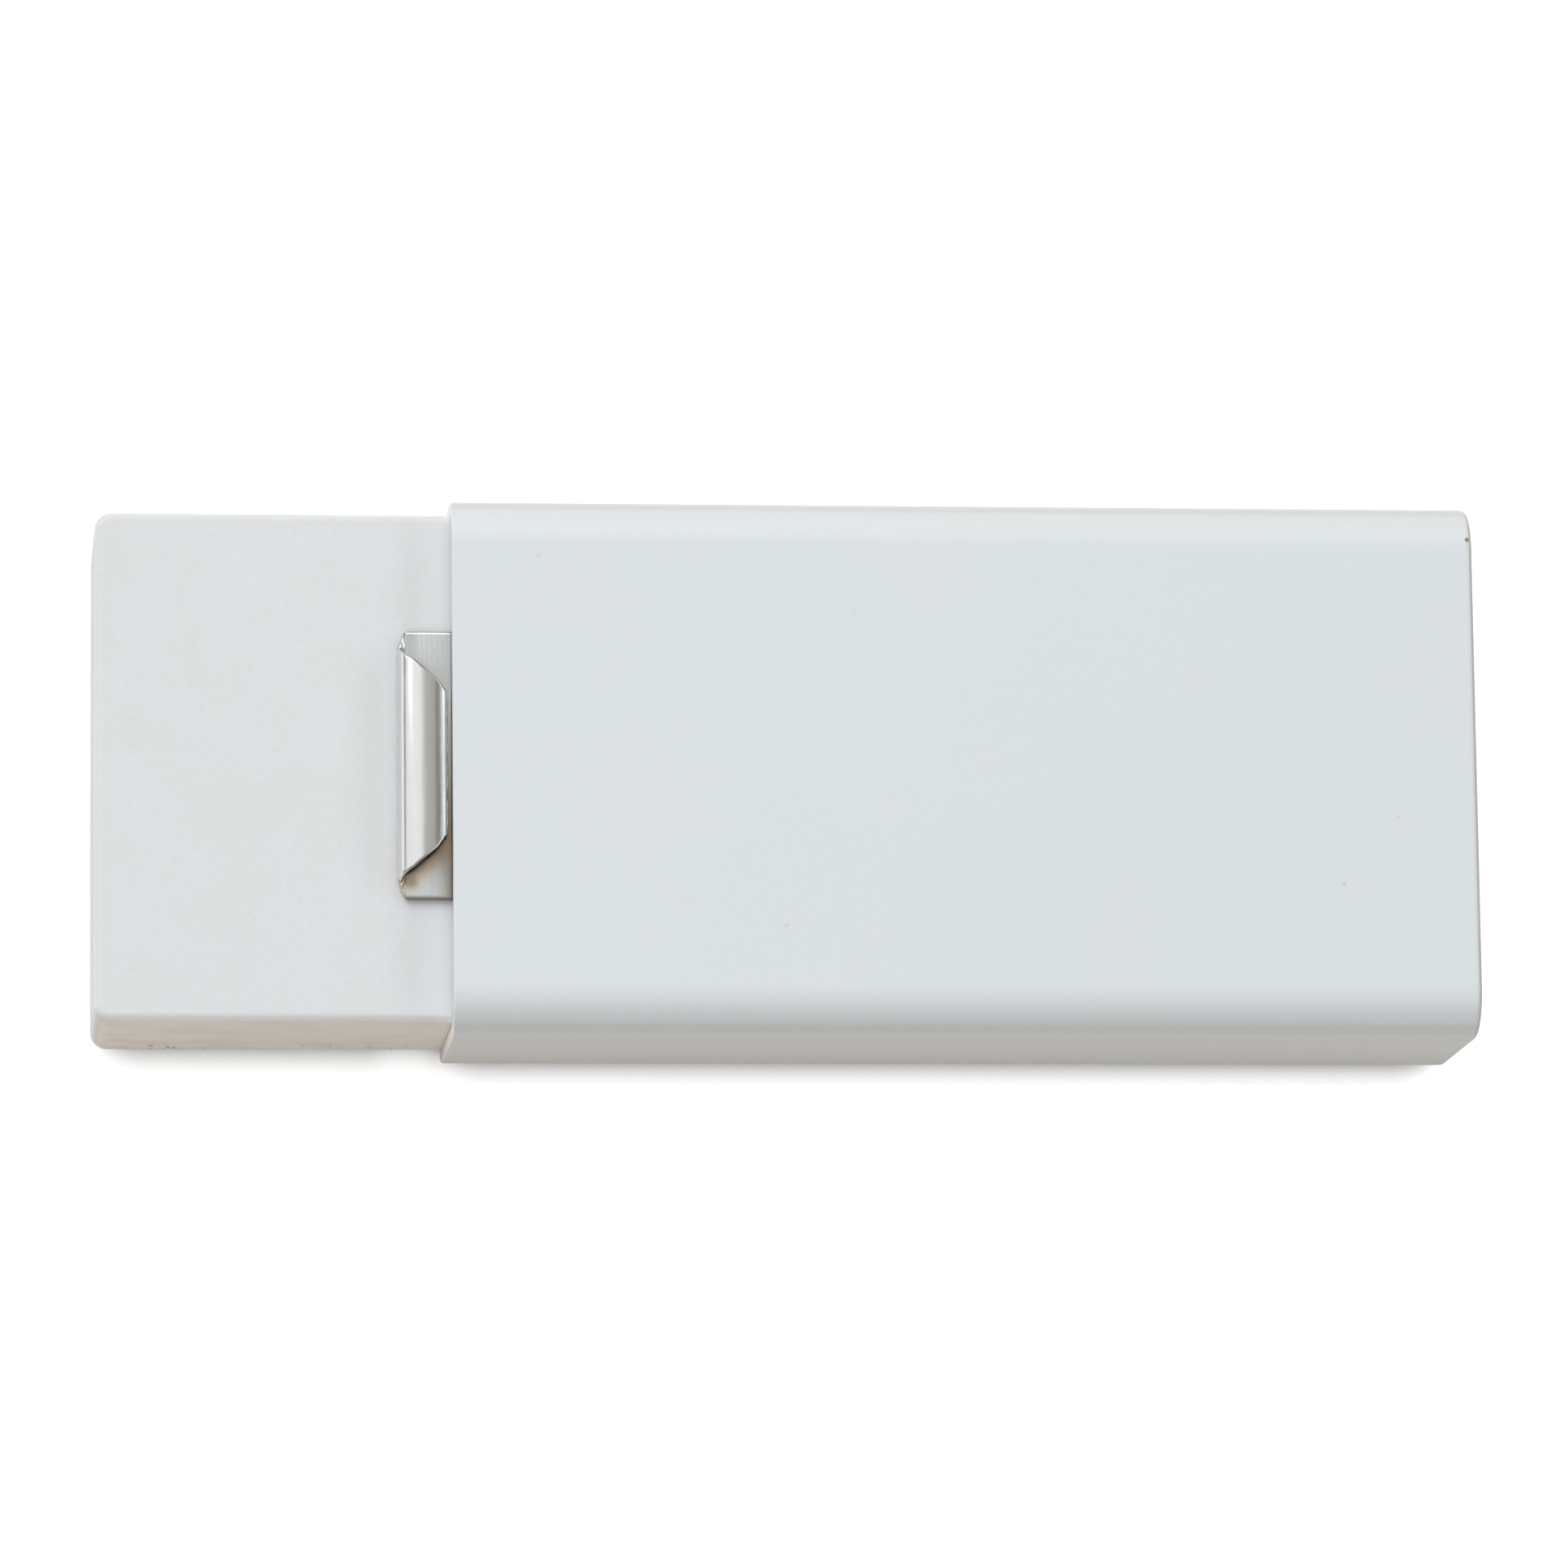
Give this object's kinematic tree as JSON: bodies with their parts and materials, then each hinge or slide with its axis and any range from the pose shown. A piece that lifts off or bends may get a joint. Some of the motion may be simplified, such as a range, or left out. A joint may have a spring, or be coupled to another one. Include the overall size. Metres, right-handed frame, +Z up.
{
  "type": "handheld eraser",
  "caption": "Flat block eraser in a white metal sleeve, held by a bent metal strip clip with folded lips at the mouth; clip and rubber pull out so the rubber can be changed.",
  "frame": {"origin": "under the middle of the overall length and width, on the plane that the sleeve's lower big face rests on", "axes": "+X runs along the length from the rubbing tip to the closed end of the sleeve, +Y across the width, +Z up through the thickness, out of the big face seen in the picture"},
  "size_m": [0.0612, 0.024, 0.012],
  "materials": {
    "coated_metal": "white satin coating",
    "polished_metal": "polished",
    "soft_rubber": "matt off-white"
  },
  "bodies": {
    "sleeve": {"sleeve": "coated_metal"},
    "clip": {"clip": "polished_metal"},
    "eraser": {"eraser": "soft_rubber"}
  },
  "joints": [
    {"name": "clip_slide", "type": "slide", "parent": "sleeve", "child": "clip", "axis": [-1, 0, 0], "range_m": [0, 0.036]},
    {"name": "eraser_slide", "type": "slide", "parent": "clip", "child": "eraser", "axis": [-1, 0, 0], "range_m": [0, 0.038]}
  ]
}
